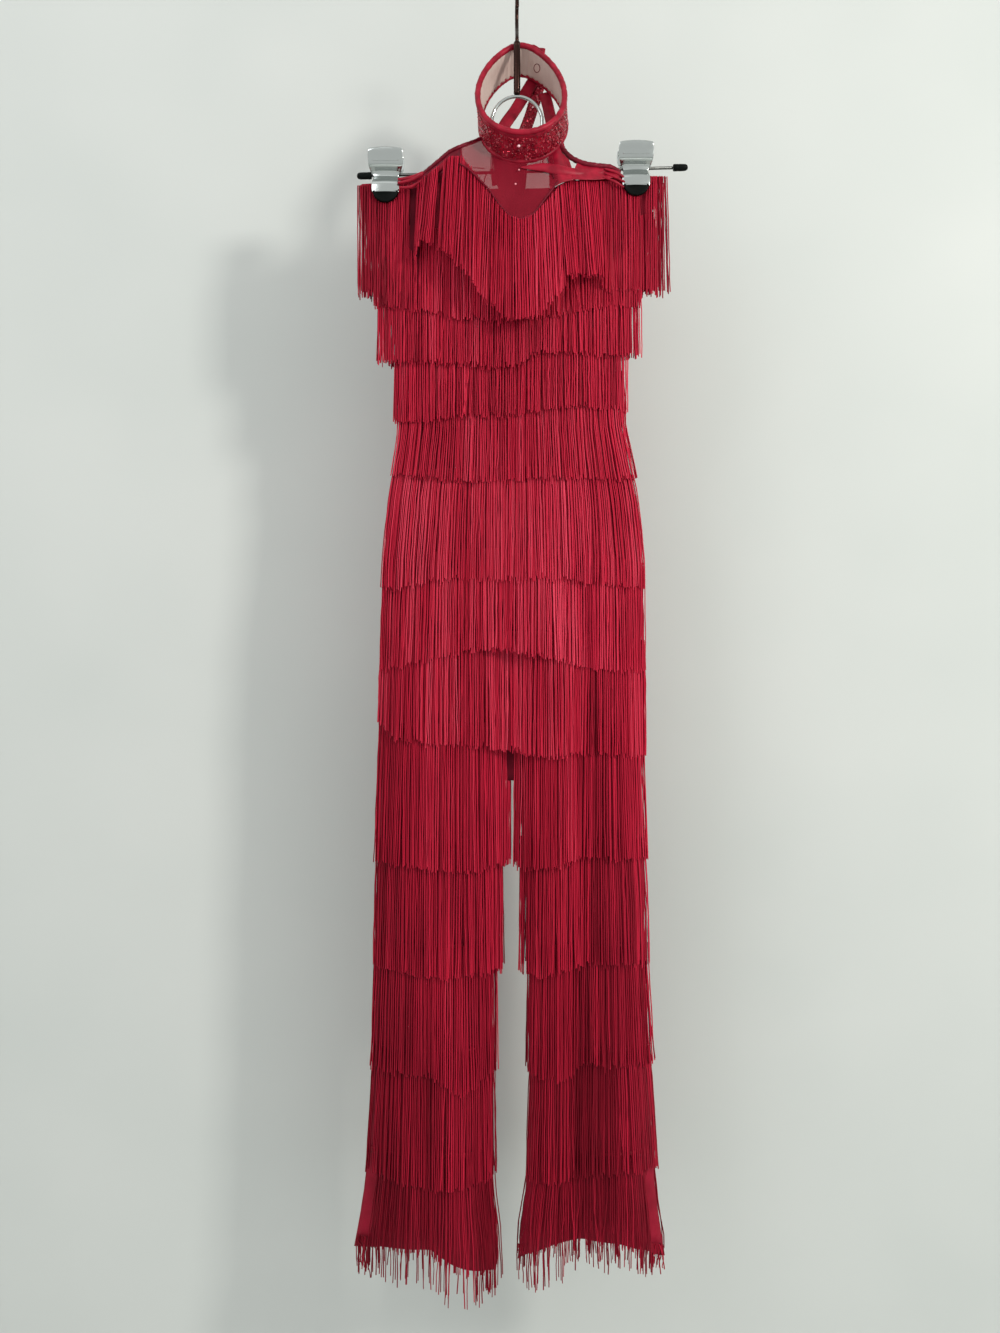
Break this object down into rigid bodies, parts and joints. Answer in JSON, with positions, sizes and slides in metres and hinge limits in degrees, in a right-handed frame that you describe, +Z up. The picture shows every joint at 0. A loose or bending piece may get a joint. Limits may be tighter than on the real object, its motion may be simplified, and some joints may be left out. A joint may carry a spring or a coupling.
{
  "type": "fringe dance jumpsuit on clip hanger",
  "caption": "Dark red fringed dance jumpsuit with a beaded halter collar and flared legs, hung flat from a chrome clip hanger.",
  "frame": {"origin": "the point under the top of the hanger's hook, where a rail bears", "axes": "+X to the viewer's right (the wearer's left), +Y to the garment's back, +Z up"},
  "size_m": [0.3998, 0.1006, 1.533],
  "materials": {
    "stretch_mesh": "stretch power mesh with a lining, dark red, dull sheen",
    "sheer_mesh": "sheer stretch mesh, red",
    "skin_mesh": "sheer skin-coloured mesh",
    "satin_trim": "satin binding, dark red",
    "rayon_fringe": "chainette fringe, rayon, silky, dark red",
    "chrome": "plated steel, polished",
    "black_rubber": "soft black rubber"
  },
  "bodies": {
    "root": {"bodice_front": "stretch_mesh", "bodice_back": "stretch_mesh", "right_leg_front": "stretch_mesh", "right_leg_back": "stretch_mesh", "left_leg_front": "stretch_mesh", "left_leg_back": "stretch_mesh", "yoke_front": "sheer_mesh", "collar_lining": "skin_mesh", "collar_band": "satin_trim", "collar_binding_top": "satin_trim", "collar_binding_lower": "satin_trim", "collar_tab": "satin_trim", "armhole_binding_right": "satin_trim", "armhole_binding_left": "satin_trim", "halter_strap_left": "satin_trim", "back_strap_right": "satin_trim", "back_strap_middle": "satin_trim", "back_strap_left": "satin_trim", "fringe_top": "rayon_fringe", "fringe_bust_upper": "rayon_fringe", "fringe_bust_lower": "rayon_fringe", "fringe_ribs": "rayon_fringe", "fringe_waist": "rayon_fringe", "fringe_hip_upper": "rayon_fringe", "fringe_hip_lower": "rayon_fringe", "fringe_seat": "rayon_fringe", "fringe_right_thigh": "rayon_fringe", "fringe_right_knee": "rayon_fringe", "fringe_right_calf": "rayon_fringe", "fringe_right_shin": "rayon_fringe", "fringe_right_hem": "rayon_fringe", "fringe_left_thigh": "rayon_fringe", "fringe_left_knee": "rayon_fringe", "fringe_left_calf": "rayon_fringe", "fringe_left_shin": "rayon_fringe", "fringe_left_hem": "rayon_fringe", "hanger_bar": "chrome", "hanger_arch": "chrome", "hanger_neck": "chrome", "hanger_hook": "chrome", "clip_right_front": "chrome", "clip_right_back": "chrome", "clip_left_front": "chrome", "clip_left_back": "chrome", "hanger_cap_right": "black_rubber", "hanger_cap_left": "black_rubber", "clip_right_pad_front": "black_rubber", "clip_right_pad_back": "black_rubber", "clip_left_pad_front": "black_rubber", "clip_left_pad_back": "black_rubber"}
  },
  "joints": []
}
